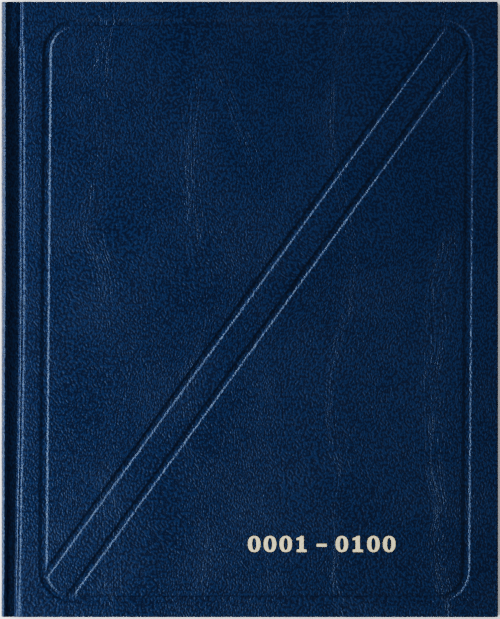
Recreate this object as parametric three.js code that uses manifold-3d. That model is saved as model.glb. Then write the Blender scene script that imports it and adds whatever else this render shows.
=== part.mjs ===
// Cash book: a case-bound ledger of ten sewn sections between two greyboards, covered in one
// material over a rounded hollow back. It lies closed on its back cover. Millimetres; +Z out of
// the front cover, +Y to the head, +X to the fore-edge, so the spine is at -X. The origin is under
// the middle of the back cover, on the surface that the book lies on.
import * as THREE from "three";
import { mergeVertices } from "three/addons/utils/BufferGeometryUtils.js";
import Module from "manifold-3d";

const wasm = await Module();
wasm.setup();

// The closed book over its covering
const bookWidth = 274.5; // spine to fore-edge
const bookHeight = 340; // tail to head

// Sheet goods, by thickness
const leather = 0.4; // leatherette of cover and spine
const greyboard = 3.0; // cover boards
const spineBoard = 0.8; // flexible stiffener of the spine
const endpaper = 0.15; // pastedowns and flyleaves
const leafPaper = 0.1; // one ruled leaf
const liningPaper = 0.3; // crepe lining over the sewn back
const tapeCloth = 0.3; // linen sewing tape
const sewingThread = 0.4; // thread diameter

// The text block
const sectionLeaves = 10; // leaves in a full section
const innerSectionLeaves = 8; // leaves in the two sections at the middle opening
const sectionsPerHalf = 5;
const looseLeaves = 2; // leaves of the middle opening that stand free, on each side of it
const square = 4; // how far the boards stand out past the leaves
const roundingSagitta = 1.0; // rounding of the back, and hollow of the fore-edge
const foldInset = 0.3; // a single leaf starts this far inside the folds
const liningShort = 4; // lining stops short of head and tail of the leaves

// Sewing tapes and headbands
const tapeCount = 4;
const tapeWidth = 14;
const tapeMargin = 45; // from the ends of the leaves to the centre of the first tape
const headbandBead = 1.8; // diameter of the worked bead
const headbandTab = 12; // cloth of the headband glued down the back
const headbandSetBack = 0.9; // bead centre inside the folds

// Case: covering, joint and hollow back
const turnIn = 15; // covering turned in at fore-edge and tail
const headTurnIn = 26; // deeper at the head
const edgeRound = 0.8; // rounding of the covered board edges
const cornerRound = 1.5; // rounding of the covered board corners in plan
const mitreSlit = 0.3; // seam between the turn-ins at a corner
const jointWidth = 10.3; // from the hinge line to the spine edge of the board
const jointDepth = 3.3; // from the cover's face down to the groove
const jointRise = 0.25; // groove is this much shallower over the head and tail turn-ins
const beadHeight = 2.0; // small bead beside the board, over the groove
const beadInset = 2.8; // its crest, outside the board edge
const beadSlope = [[0, 1], [0.6, 0.8], [1.2, 0.5], [1.8, 0.1], [2.4, 0]]; // out from crest, share of height
const beadRound = 0.12; // how far the covering has fallen beside the crest
const beadDip = 0.4; // dip between bead and board
const dipRound = 0.24; // how far it has risen beside the bottom of the dip
const spineSagitta = 0.7; // rounding of the spine
const shoulderDrop = 0.6; // shoulders of the spine lie this far below the covers' faces
const lipGap = 0.35; // spine lip to hinge line
const hingeOffset = 0.4; // hinge line inside the axis that the block opens about
const openingClear = 0.15; // lining to that axis
const pastedownStart = 1; // pastedown starts this far inside the hinge line

// Stamped decoration of the front cover, to the centres of the lines
const panelFromSpine = 24.45;
const panelFromForeEdge = 16.05;
const panelFromHead = 11.3;
const panelFromTail = 10.1;
const panelRadius = 16;
const panelLean = 0.45; // degrees, head towards the fore-edge
const bandWidth = 17.6; // between the two diagonal lines
const bandOvershoot = 3.2; // the band aims this far past the corners of the panel
const lineWidth = 4.8; // stamped line, across its rounded shoulders
const lineFloor = 1.6;
const lineDepth = 0.8;

// Clearances
const bodyGap = 0.1; // between pieces that move apart
const glueLine = 0.05; // between curved pieces that are glued
const pressGap = 0.3; // between a pressed ridge of covering and the wall of its groove

// Facets
const arcSteps = 12;
const foldSteps = 5;
const lineSteps = 4;
const cornerSteps = 7;
const edgeSteps = 3;
const beadSteps = 10;
const threadSteps = 6;
const past = 1; // how far a cutting shape reaches past what it cuts

// Worked out: levels of the upper half, from the outer face down
const coverThickness = leather + greyboard + leather + endpaper;
const innerSection = innerSectionLeaves * leafPaper;
const fullSection = sectionLeaves * leafPaper;
const halfBlock =
  bodyGap + endpaper + (sectionsPerHalf - 1) * fullSection + innerSection +
  looseLeaves * (bodyGap + leafPaper) + bodyGap / 2;
const thickness = 2 * (coverThickness + halfBlock);
const midZ = thickness / 2;
const boardTop = thickness - leather;
const boardBottom = boardTop - greyboard;
const turnInBottom = boardBottom - leather;
const coverBottom = thickness - coverThickness;
const grooveZ = thickness - jointDepth;
const blockTop = coverBottom - bodyGap;
const sectionsTop = blockTop - endpaper;

// Worked out: places from spine to fore-edge
const spineX = -bookWidth / 2;
const foreX = bookWidth / 2;
const headY = bookHeight / 2;
const tailY = -bookHeight / 2;
const spineShell = leather + spineBoard + leather;
const hingeX = spineX + spineSagitta + spineShell + lipGap;
const openingX = hingeX - hingeOffset;
const boardX = hingeX + jointWidth;
const liningX = openingX + openingClear;
const tapeX = liningX + liningPaper + glueLine + sewingThread / 2;
const foldX = tapeX + tapeCloth + glueLine;
const foreEdgeX = foreX - square - roundingSagitta;
const leafWidth = foreEdgeX - foldX;
const leafHeadY = headY - square;
const leafTailY = tailY + square;

// Depth of a circular bulge of the given sagitta, at a distance from its crown
function bulge(distance, halfChord, sagitta) {
  const radius = (halfChord ** 2 + sagitta ** 2) / (2 * sagitta);
  return radius - Math.sqrt(Math.max(radius ** 2 - distance ** 2, 0));
}

// How far the rounded back has drawn in at a level
const blockHalf = blockTop - midZ;
const roundAt = (z) => bulge(Math.abs(z - midZ), blockHalf, roundingSagitta);

// Points on an arc in the XZ plane, its two ends left out unless asked for
function arc(x, z, radius, from, to, steps, withEnds = false) {
  const points = [];
  for (let i = withEnds ? 0 : 1; i <= (withEnds ? steps : steps - 1); i++) {
    const angle = from + ((to - from) * i) / steps;
    points.push([x + radius * Math.cos(angle), z + radius * Math.sin(angle)]);
  }
  return points;
}

// A prism of an XZ outline, counter-clockwise with X to the right and Z up, between two Y planes
function prism(outline, y0, y1) {
  const shape = new THREE.Shape(outline.map(([x, z]) => new THREE.Vector2(x, z)));
  const geometry = new THREE.ExtrudeGeometry(shape, { depth: 1, bevelEnabled: false });
  const p = geometry.attributes.position;
  for (let i = 0; i < p.count; i++) p.setXYZ(i, p.getX(i), p.getZ(i) > 0.5 ? y0 : y1, p.getY(i));
  return geometry;
}

// A box between two corners
function box(x0, x1, y0, y1, z0, z1) {
  const geometry = new THREE.BoxGeometry(1, 1, 1);
  const p = geometry.attributes.position;
  for (let i = 0; i < p.count; i++) {
    p.setXYZ(i, p.getX(i) < 0 ? x0 : x1, p.getY(i) < 0 ? y0 : y1, p.getZ(i) < 0 ? z0 : z1);
  }
  return geometry;
}

// A profile carried along frames of { at, across, up }; the path runs along across x up
function sweep(frames, profile, closed) {
  const count = profile.length;
  const rings = frames.length;
  const position = [];
  for (const { at, across, up } of frames) {
    for (const [u, v] of profile) {
      position.push(...at.clone().addScaledVector(across, u).addScaledVector(up, v).toArray());
    }
  }
  const index = [];
  for (let i = 0; i < (closed ? rings : rings - 1); i++) {
    for (let j = 0; j < count; j++) {
      const a = i * count + j;
      const b = i * count + ((j + 1) % count);
      const c = ((i + 1) % rings) * count + ((j + 1) % count);
      const d = ((i + 1) % rings) * count + j;
      index.push(a, b, c, a, c, d);
    }
  }
  if (!closed) {
    const flat = profile.map(([u, v]) => new THREE.Vector2(u, v));
    const last = (rings - 1) * count;
    for (const [a, b, c] of THREE.ShapeUtils.triangulateShape(flat, [])) {
      index.push(a, c, b, last + a, last + b, last + c);
    }
  }
  const geometry = new THREE.BufferGeometry();
  geometry.setAttribute("position", new THREE.Float32BufferAttribute(position, 3));
  geometry.setIndex(index);
  return geometry;
}

// Joins and cuts
function solid(geometry) {
  const bare = geometry.clone();
  bare.deleteAttribute("normal");
  bare.deleteAttribute("uv");
  const merged = mergeVertices(bare, 1e-5);
  return new wasm.Manifold(
    new wasm.Mesh({
      numProp: 3,
      vertProperties: merged.attributes.position.array,
      triVerts: new Uint32Array(merged.index.array),
    }),
  );
}

function surface(manifold) {
  const mesh = manifold.getMesh();
  const geometry = new THREE.BufferGeometry();
  geometry.setAttribute("position", new THREE.BufferAttribute(mesh.vertProperties, 3));
  geometry.setIndex(new THREE.BufferAttribute(mesh.triVerts, 1));
  const faceted = geometry.toNonIndexed();
  faceted.computeVertexNormals();
  return faceted;
}

const join = (first, ...others) => others.reduce((all, one) => all.add(solid(one)), first);
const cut = (first, ...others) => others.reduce((all, one) => all.subtract(solid(one)), first);

// The same piece of the other half of the book, mirrored at mid-thickness
function mirrored(geometry) {
  const copy = geometry.index ? geometry.toNonIndexed() : geometry.clone();
  const p = copy.attributes.position;
  for (let i = 0; i < p.count; i++) p.setZ(i, thickness - p.getZ(i));
  for (let i = 0; i < p.count; i += 3) {
    const b = [p.getX(i + 1), p.getY(i + 1), p.getZ(i + 1)];
    p.setXYZ(i + 1, p.getX(i + 2), p.getY(i + 2), p.getZ(i + 2));
    p.setXYZ(i + 2, ...b);
  }
  copy.computeVertexNormals();
  return copy;
}

// Stamped lines: the panel is a rounded rectangle that leans, crossed by a band of two lines
const lean = Math.tan(THREE.MathUtils.degToRad(panelLean));
const panelX0 = spineX + panelFromSpine;
const panelX1 = foreX - panelFromForeEdge;
const panelY0 = tailY + panelFromTail;
const panelY1 = headY - panelFromHead;

function panelPath() {
  const corners = [
    [panelX1 - panelRadius, panelY0 + panelRadius, -Math.PI / 2],
    [panelX1 - panelRadius, panelY1 - panelRadius, 0],
    [panelX0 + panelRadius, panelY1 - panelRadius, Math.PI / 2],
    [panelX0 + panelRadius, panelY0 + panelRadius, Math.PI],
  ];
  const path = [];
  for (const [x, y, from] of corners) {
    for (const [px, py] of arc(x, y, panelRadius, from, from + Math.PI / 2, cornerSteps, true)) {
      path.push(new THREE.Vector2(px + lean * py, py));
    }
  }
  return path;
}

// Where the line through a point along a direction crosses a closed path, first and last
function crossings(point, direction, path) {
  const found = [];
  path.forEach((a, i) => {
    const b = path[(i + 1) % path.length];
    const edge = b.clone().sub(a);
    const turn = direction.cross(edge);
    if (Math.abs(turn) < 1e-9) return;
    const toEdge = a.clone().sub(point);
    const along = toEdge.cross(edge) / turn;
    const share = toEdge.cross(direction) / turn;
    if (share >= 0 && share < 1) found.push(along);
  });
  return [Math.min(...found), Math.max(...found)];
}

// Frames along a flat path at the cover's face, mitred at its corners
function lineFrames(path, closed) {
  const up = new THREE.Vector3(0, 0, 1);
  return path.map((point, i) => {
    const before = closed || i > 0 ? path[(i + path.length - 1) % path.length] : point;
    const after = closed || i < path.length - 1 ? path[(i + 1) % path.length] : point;
    const arriving = point.clone().sub(before).normalize();
    const leaving = after.clone().sub(point).normalize();
    const along = arriving.clone().add(leaving).normalize();
    const widen = closed ? 1 / along.dot(leaving) : 1;
    return {
      at: new THREE.Vector3(point.x, point.y, thickness),
      across: new THREE.Vector3(-along.y, along.x, 0).multiplyScalar(widen),
      up,
    };
  });
}

// Profile of a stamped line: the floor, cosine walls, and a straight top at topZ. The lowered
// profile is the ridge that the covering forms underneath
function lineProfile(lowered, widened, topZ) {
  const floor = lineFloor / 2 + widened;
  const half = lineWidth / 2 + widened;
  const right = [];
  for (let i = 0; i <= lineSteps; i++) {
    const share = i / lineSteps;
    const depth = (lineDepth * (1 + Math.cos(Math.PI * share))) / 2;
    right.push([floor + (half - floor) * share, -depth - lowered]);
  }
  const left = right.map(([u, v]) => [-u, v]).reverse();
  return [...left, ...right, [half, topZ], [-half, topZ]];
}

function stampedLines(profile) {
  const panel = panelPath();
  const centre = new THREE.Vector2((panelX0 + panelX1) / 2, (panelY0 + panelY1) / 2);
  centre.x += lean * centre.y;
  const direction = new THREE.Vector2(
    panelX1 - panelX0 + lean * (panelY1 - panelY0),
    panelY1 - panelY0 + 2 * bandOvershoot,
  ).normalize();
  const sideways = new THREE.Vector2(-direction.y, direction.x);
  const lines = [sweep(lineFrames(panel, true), profile, true)];
  for (const side of [-1, 1]) {
    const start = centre.clone().addScaledVector(sideways, (side * bandWidth) / 2);
    const [from, to] = crossings(start, direction, panel);
    const ends = [from, to].map((along) => start.clone().addScaledVector(direction, along));
    lines.push(sweep(lineFrames(ends, false), profile, false));
  }
  return lines;
}

// Outline of the covered joint and board under the cover's face, for a prism to cut it from
function jointOutline(rise) {
  const crest = boardX - beadInset;
  const groove = grooveZ + rise;
  const bead = grooveZ + beadHeight;
  const dip = bead - beadDip;
  const faceX = boardX + edgeRound / 2;
  const dipX = (crest + boardX) / 2 - leather;
  return [
    [hingeX, turnInBottom],
    [foreX + past, turnInBottom],
    [foreX + past, thickness],
    ...arc(faceX, thickness - edgeRound, edgeRound, Math.PI / 2, Math.PI, 2, true),
    [dipX + leather, dip + dipRound],
    [dipX, dip],
    [crest + leather, bead - beadRound],
    ...beadSlope.map(([out, share]) => [crest - out, groove + (bead - groove) * share]),
    [hingeX, groove],
  ];
}

// Cover: a block with rounded edges, shaped by the joint's outline and hollowed for the board
function coverShell() {
  const inset = edgeRound;
  const x0 = hingeX - 2 * cornerRound - edgeRound;
  const plan = new THREE.Shape();
  const [px0, px1] = [x0 + inset, foreX - inset];
  const [py0, py1] = [tailY + inset, headY - inset];
  const r = cornerRound - inset;
  plan.moveTo(px0, py0);
  plan.lineTo(px1 - r, py0);
  plan.absarc(px1 - r, py0 + r, r, -Math.PI / 2, 0, false);
  plan.lineTo(px1, py1 - r);
  plan.absarc(px1 - r, py1 - r, r, 0, Math.PI / 2, false);
  plan.lineTo(px0, py1);
  const block = new THREE.ExtrudeGeometry(plan, {
    depth: thickness - turnInBottom - 2 * edgeRound,
    bevelThickness: edgeRound,
    bevelSize: edgeRound,
    bevelSegments: edgeSteps,
    curveSegments: edgeSteps,
  });
  block.translate(0, 0, turnInBottom + edgeRound);
  const windowY0 = tailY + turnIn;
  const windowY1 = headY - headTurnIn;
  const profile = join(
    solid(prism(jointOutline(0), tailY - past, headY + past)),
    prism(jointOutline(jointRise), tailY - past, windowY0),
    prism(jointOutline(jointRise), windowY1, headY + past),
  );
  const shell = solid(block).intersect(profile);
  const flapBottom = turnInBottom - past;
  return cut(
    shell,
    box(boardX, foreX - leather, tailY + leather, headY - leather, boardBottom, boardTop),
    box(boardX - past, foreX - turnIn, windowY0, windowY1, flapBottom, boardBottom - bodyGap),
    box(boardX, foreX - turnIn, windowY0, windowY1, flapBottom, boardBottom + bodyGap),
    box(hingeX - past, boardX, windowY0, windowY1, flapBottom, grooveZ - leather),
    mitreCut(headY),
    mitreCut(tailY),
  );
}

// Seam between the turn-ins, on the diagonal of a corner at the fore-edge, open to the board
function mitreCut(cornerY) {
  const [start, end] = [2 * leather, turnIn + 2 * mitreSlit];
  const half = ((end - start) / 2) * Math.SQRT2;
  const reach = (start + end) / 2;
  const seam = box(-half, half, -mitreSlit / 2, mitreSlit / 2, -leather / 2, leather / 2);
  seam.rotateZ(cornerY > 0 ? Math.PI / 4 : -Math.PI / 4);
  seam.translate(foreX - reach, cornerY - Math.sign(cornerY) * reach, turnInBottom + leather / 2);
  return seam;
}

function coverBoard() {
  return box(boardX, foreX - leather, tailY + leather, headY - leather, boardBottom, boardTop);
}

// Pastedown: over the turn-ins at its rim, and pressed onto the bare board inside them
function pastedown() {
  const rimTop = coverBottom + endpaper;
  const [x0, x1] = [boardX + endpaper, foreX - turnIn - endpaper];
  const [y0, y1] = [tailY + turnIn + endpaper, headY - headTurnIn - endpaper];
  const wall = 2 * endpaper;
  const rim = solid(
    box(hingeX + pastedownStart, foreX - square, leafTailY, leafHeadY, coverBottom, rimTop),
  );
  const pan = join(rim, box(x0, x1, y0, y1, coverBottom, boardBottom));
  return surface(
    cut(
      pan,
      box(x0 + wall, x1 - wall, y0 + wall, y1 - wall, coverBottom - past, boardBottom - endpaper),
    ),
  );
}

function frontCovering() {
  const ridges = stampedLines(lineProfile(leather, 0, -leather / 2));
  const grooves = stampedLines(lineProfile(0, 0, past));
  return surface(cut(join(coverShell(), ...ridges), ...grooves));
}

function frontBoard() {
  return surface(cut(solid(coverBoard()), ...stampedLines(lineProfile(leather, pressGap, past))));
}

// Spine: an arched band of the given thickness with round edges, about one centre line
const spineHalf = midZ - shoulderDrop - spineShell / 2;

function spineBand(width) {
  const radius = (spineHalf ** 2 + spineSagitta ** 2) / (2 * spineSagitta);
  const reach = Math.asin(spineHalf / radius);
  const centreX = spineX + spineShell / 2 + radius;
  const half = width / 2;
  const endX = centreX - radius * Math.cos(reach);
  const outer = arc(centreX, midZ, radius + half, Math.PI - reach, Math.PI + reach, arcSteps, true);
  const lower = arc(endX, midZ - spineHalf, half, Math.PI + reach, 2 * Math.PI + reach, foldSteps);
  const inner = arc(centreX, midZ, radius - half, Math.PI + reach, Math.PI - reach, arcSteps, true);
  const upper = arc(endX, midZ + spineHalf, half, -reach, Math.PI - reach, foldSteps);
  return [...outer, ...lower, ...inner, ...upper];
}

function spineCovering() {
  const lipReach = midZ - (thickness - grooveZ) - leather;
  return surface(
    cut(
      solid(prism(spineBand(spineShell), tailY, headY)),
      prism(spineBand(spineBoard + 2 * glueLine), tailY + leather, headY - leather),
      box(
        spineX + spineShell / 2, hingeX + past,
        tailY + turnIn, headY - headTurnIn,
        midZ - lipReach, midZ + lipReach,
      ),
    ),
  );
}

function spineStiffener() {
  return prism(spineBand(spineBoard), tailY + leather + glueLine, headY - leather - glueLine);
}

// A strip laid over half of the rounded back: its outer face at x on the crown
function backStrip(x, paper) {
  const z0 = midZ + bodyGap / 2;
  const outer = [];
  for (let i = 0; i <= arcSteps; i++) {
    const z = z0 + ((sectionsTop - z0) * i) / arcSteps;
    outer.push([x + roundAt(z), z]);
  }
  const inner = outer.map(([px, pz]) => [px + paper, pz]);
  return [...inner, ...outer.reverse()];
}

// Levels of the sections of the front half, from the outermost in
const sectionLevels = [];
for (let i = 0; i < sectionsPerHalf; i++) {
  const top = sectionsTop - i * fullSection;
  const bottom = i === sectionsPerHalf - 1 ? top - innerSection : sectionsTop - (i + 1) * fullSection;
  sectionLevels.push([bottom, top]);
}

// A section: leaves folded together, with a half-round fold
function section([z0, z1]) {
  const z = (z0 + z1) / 2;
  const round = (z1 - z0) / 2;
  const x = foldX + roundAt(z);
  const outline = [
    [x + leafWidth, z0],
    [x + leafWidth, z1],
    [x + round, z1],
    ...arc(x + round, z, round, Math.PI / 2, (3 * Math.PI) / 2, foldSteps),
    [x + round, z0],
  ];
  return prism(outline, leafTailY, leafHeadY);
}

function singleLeaf(z0, z1) {
  const x = foldX + roundAt((z0 + z1) / 2);
  return box(x + foldInset, x + leafWidth, leafTailY, leafHeadY, z0, z1);
}

// Tape with the threads of the sections that cross it
function tape(y) {
  const strip = solid(prism(backStrip(tapeX, tapeCloth), y - tapeWidth / 2, y + tapeWidth / 2));
  const reach = tapeWidth / 2 + sewingThread;
  const threads = sectionLevels.map(([z0, z1]) => {
    const z = (z0 + z1) / 2;
    const round = arc(tapeX + roundAt(z), z, sewingThread / 2, 0, 2 * Math.PI, threadSteps, true);
    return prism(round.slice(1), y - reach, y + reach);
  });
  return surface(join(strip, ...threads));
}

// Headband: a bead worked on a strip of cloth, along half of the back
function headband(edgeY, outward) {
  const z0 = midZ + bodyGap / 2;
  const frames = [];
  for (let i = 0; i <= arcSteps; i++) {
    const z = z0 + ((sectionsTop - z0) * i) / arcSteps;
    frames.push({
      at: new THREE.Vector3(
        foldX + headbandSetBack + roundAt(z),
        edgeY + outward * (headbandBead / 2 + glueLine),
        z,
      ),
      across: new THREE.Vector3(1, 0, 0),
      up: new THREE.Vector3(0, 1, 0),
    });
  }
  const bead = arc(0, 0, headbandBead / 2, 0, 2 * Math.PI, beadSteps, true).slice(1);
  const tabEnd = edgeY + (outward * headbandBead) / 2;
  const tabStart = edgeY - outward * headbandTab;
  const tab = prism(
    backStrip(tapeX, tapeCloth),
    Math.min(tabStart, tabEnd),
    Math.max(tabStart, tabEnd),
  );
  const bridge = backStrip(tapeX, foldX + headbandSetBack - tapeX);
  const bridgeEnds = [edgeY + outward * glueLine, tabEnd].sort((a, b) => a - b);
  return surface(join(solid(sweep(frames, bead, false)), tab, prism(bridge, ...bridgeEnds)));
}

// Materials
const finish = (color, roughness, metalness = 0) =>
  new THREE.MeshStandardMaterial({ color, roughness, metalness });
const navyLeatherette = finish(0x0a2444, 0.55);
const greyBoard = finish(0x8d8a82, 0.95);
const whiteEndpaper = finish(0xeeeade, 0.9);
const ledgerPaper = finish(0xf2efe2, 0.85);
const creamCard = finish(0xb9a98a, 0.9);
const crepe = finish(0xcdbb94, 0.95);
const linen = finish(0xe6dfcc, 0.9);
const bandSilk = finish(0x27406e, 0.6);

function piece(group, name, geometry, material) {
  const mesh = new THREE.Mesh(geometry, material.clone());
  mesh.name = name;
  group.add(mesh);
}

const book = new THREE.Group();
const frontCover = new THREE.Group();
const spine = new THREE.Group();
const frontBlock = new THREE.Group();
const turningLeaves = new THREE.Group();
const backCover = new THREE.Group();
const backBlock = new THREE.Group();
book.add(frontCover, spine, frontBlock, turningLeaves, backCover, backBlock);

// Covers and spine
piece(frontCover, "front_leatherette", frontCovering(), navyLeatherette);
piece(frontCover, "front_board", frontBoard(), greyBoard);
piece(frontCover, "front_pastedown", pastedown(), whiteEndpaper);
piece(spine, "spine_leatherette", spineCovering(), navyLeatherette);
piece(spine, "spine_stiffener", spineStiffener(), creamCard);
piece(backCover, "back_leatherette", mirrored(surface(coverShell())), navyLeatherette);
piece(backCover, "back_board", mirrored(coverBoard()), greyBoard);
piece(backCover, "back_pastedown", mirrored(pastedown()), whiteEndpaper);

// What the two halves of the block share, one made and its mirror image
function bothHalves(name, geometry, material) {
  piece(frontBlock, name + "_front", geometry, material);
  piece(backBlock, name + "_back", mirrored(geometry), material);
}

const flyleaf = singleLeaf(sectionsTop, blockTop);
piece(frontBlock, "front_flyleaf", flyleaf, whiteEndpaper);
piece(backBlock, "back_flyleaf", mirrored(flyleaf), whiteEndpaper);

sectionLevels.forEach((levels, i) => {
  const number = (n) => "section_" + String(n).padStart(2, "0");
  const geometry = section(levels);
  piece(frontBlock, number(i + 1), geometry, ledgerPaper);
  piece(backBlock, number(2 * sectionsPerHalf - i), mirrored(geometry), ledgerPaper);
});

for (let i = 0; i < looseLeaves; i++) {
  const top = sectionLevels.at(-1)[0] - bodyGap - i * (leafPaper + bodyGap);
  const geometry = singleLeaf(top - leafPaper, top);
  piece(turningLeaves, "leaf_" + (i + 1), geometry, ledgerPaper);
  piece(backBlock, "leaf_" + (2 * looseLeaves - i), mirrored(geometry), ledgerPaper);
}

const lining = prism(
  backStrip(liningX, liningPaper),
  leafTailY + liningShort,
  leafHeadY - liningShort,
);
bothHalves("spine_lining", lining, crepe);
bothHalves("headband", headband(leafHeadY, 1), bandSilk);
bothHalves("tailband", headband(leafTailY, -1), bandSilk);
for (let i = 0; i < tapeCount; i++) {
  const span = leafHeadY - leafTailY - 2 * tapeMargin;
  const y = leafTailY + tapeMargin + (span * i) / (tapeCount - 1);
  bothHalves("sewing_tape_" + (i + 1), tape(y), linen);
}

export default book;
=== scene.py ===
import math

import bmesh
import bpy
import numpy as np
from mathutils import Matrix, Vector
from mathutils.geometry import tessellate_polygon


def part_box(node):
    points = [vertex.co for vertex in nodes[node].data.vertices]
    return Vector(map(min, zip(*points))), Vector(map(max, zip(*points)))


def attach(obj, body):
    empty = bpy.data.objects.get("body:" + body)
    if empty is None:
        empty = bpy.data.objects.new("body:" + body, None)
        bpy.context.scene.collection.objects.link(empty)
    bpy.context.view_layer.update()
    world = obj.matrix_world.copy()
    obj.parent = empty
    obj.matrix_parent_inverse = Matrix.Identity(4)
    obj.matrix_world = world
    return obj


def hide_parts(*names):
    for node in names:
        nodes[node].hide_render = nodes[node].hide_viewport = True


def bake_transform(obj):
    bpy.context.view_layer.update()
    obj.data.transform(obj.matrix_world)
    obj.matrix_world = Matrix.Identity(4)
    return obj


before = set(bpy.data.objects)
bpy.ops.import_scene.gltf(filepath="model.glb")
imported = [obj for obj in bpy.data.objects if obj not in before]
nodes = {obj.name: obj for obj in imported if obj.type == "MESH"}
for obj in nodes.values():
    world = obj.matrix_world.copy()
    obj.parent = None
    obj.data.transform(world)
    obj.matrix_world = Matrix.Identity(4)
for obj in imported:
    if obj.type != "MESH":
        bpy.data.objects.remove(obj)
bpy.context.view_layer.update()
print("cash book: frame loaded,", len(nodes), "solids")

# The book's sizes, in millimetres, as the solids have them. +X to the fore-edge, +Y to the head.
book = {
    "width": 274.5,
    "height": 340.0,
    "thickness": 18.9,
    "faceLevel": 18.87,  # the covering's face, just under the foil
    "underLevel": 15.1,  # underside of the turn-ins
}
midLevel = book["thickness"] / 2
headY = book["height"] / 2
foreX = book["width"] / 2


def quads(rows, columns, closedColumns=False):
    # Corner numbers of the quads of a grid that is stored row by row
    r = np.arange(rows - 1)[:, None] * columns
    c = np.arange(columns if closedColumns else columns - 1)[None, :]
    below, beside = r + columns, (c + 1) % columns
    corners = [r + c, r + beside, below + beside, below + c]
    return np.stack(corners, -1).reshape(-1, 4)


def makePiece(name, parts, material, weld=0.0, smooth=True):
    # Parts are (points in mm, faces); they become one object at the origin, in metres
    points = np.concatenate([p.reshape(-1, 3) for p, f in parts])
    starts = np.cumsum([0] + [p.reshape(-1, 3).shape[0] for p, f in parts])
    faces = [face for (p, f), start in zip(parts, starts) for face in (np.asarray(f) + start).tolist()]
    mesh = bpy.data.meshes.new(name)
    mesh.from_pydata((points * 0.001).tolist(), [], faces)
    if weld:
        skin = bmesh.new()
        skin.from_mesh(mesh)
        bmesh.ops.remove_doubles(skin, verts=skin.verts, dist=weld * 0.001)
        bmesh.ops.dissolve_degenerate(skin, edges=skin.edges, dist=weld * 0.0005)
        skin.to_mesh(mesh)
        skin.free()
    mesh.materials.append(material)
    mesh.polygons.foreach_set("use_smooth", np.full(len(mesh.polygons), smooth))
    piece = bpy.data.objects.new(name, mesh)
    bpy.context.scene.collection.objects.link(piece)
    print("  ", name, len(mesh.polygons), "faces")
    return piece


def applied(piece):
    # The piece with its modifiers worked into its mesh
    bpy.context.view_layer.update()
    shape = piece.evaluated_get(bpy.context.evaluated_depsgraph_get())
    piece.data = bpy.data.meshes.new_from_object(shape)
    piece.modifiers.clear()
    return piece


def smoothCurve(controls, perSpan):
    # A uniform cubic B-spline down the first axis; its ends sit on the end controls
    c = np.concatenate([controls[:1], controls[:1], controls, controls[-1:], controls[-1:]])
    t = np.linspace(0, 1, perSpan, endpoint=False).reshape(-1, *[1] * controls.ndim)
    a, b, d, e = c[:-3], c[1:-2], c[2:-1], c[3:]
    spans = (
        (1 - t) ** 3 * a + (3 * t**3 - 6 * t**2 + 4) * b
        + (-3 * t**3 + 3 * t**2 + 3 * t + 1) * d + t**3 * e
    ) / 6
    return np.concatenate([spans.swapaxes(0, 1).reshape(-1, *controls.shape[1:]), controls[-1:]])


def fade(low, high, value):
    # 0 up to low and 1 from high, smooth between them
    t = np.clip((value - low) / (high - low), 0, 1)
    return t * t * (3 - 2 * t)


class Tap:
    # A socket that takes part in sums: each operator adds one Math node
    def __init__(self, paint, socket):
        self.paint, self.socket = paint, socket

    def maths(self, operation, *values):
        return self.paint.maths(operation, *values)

    def __add__(self, other):
        return self.maths("ADD", self, other)

    def __sub__(self, other):
        return self.maths("SUBTRACT", self, other)

    def __rsub__(self, other):
        return self.maths("SUBTRACT", other, self)

    def __mul__(self, other):
        return self.maths("MULTIPLY", self, other)

    def __truediv__(self, other):
        return self.maths("DIVIDE", self, other)

    def __lt__(self, other):
        return self.maths("LESS_THAN", self, other)

    def __gt__(self, other):
        return self.maths("GREATER_THAN", self, other)

    def __abs__(self):
        return self.maths("ABSOLUTE", self)

    __radd__ = __add__
    __rmul__ = __mul__


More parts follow.
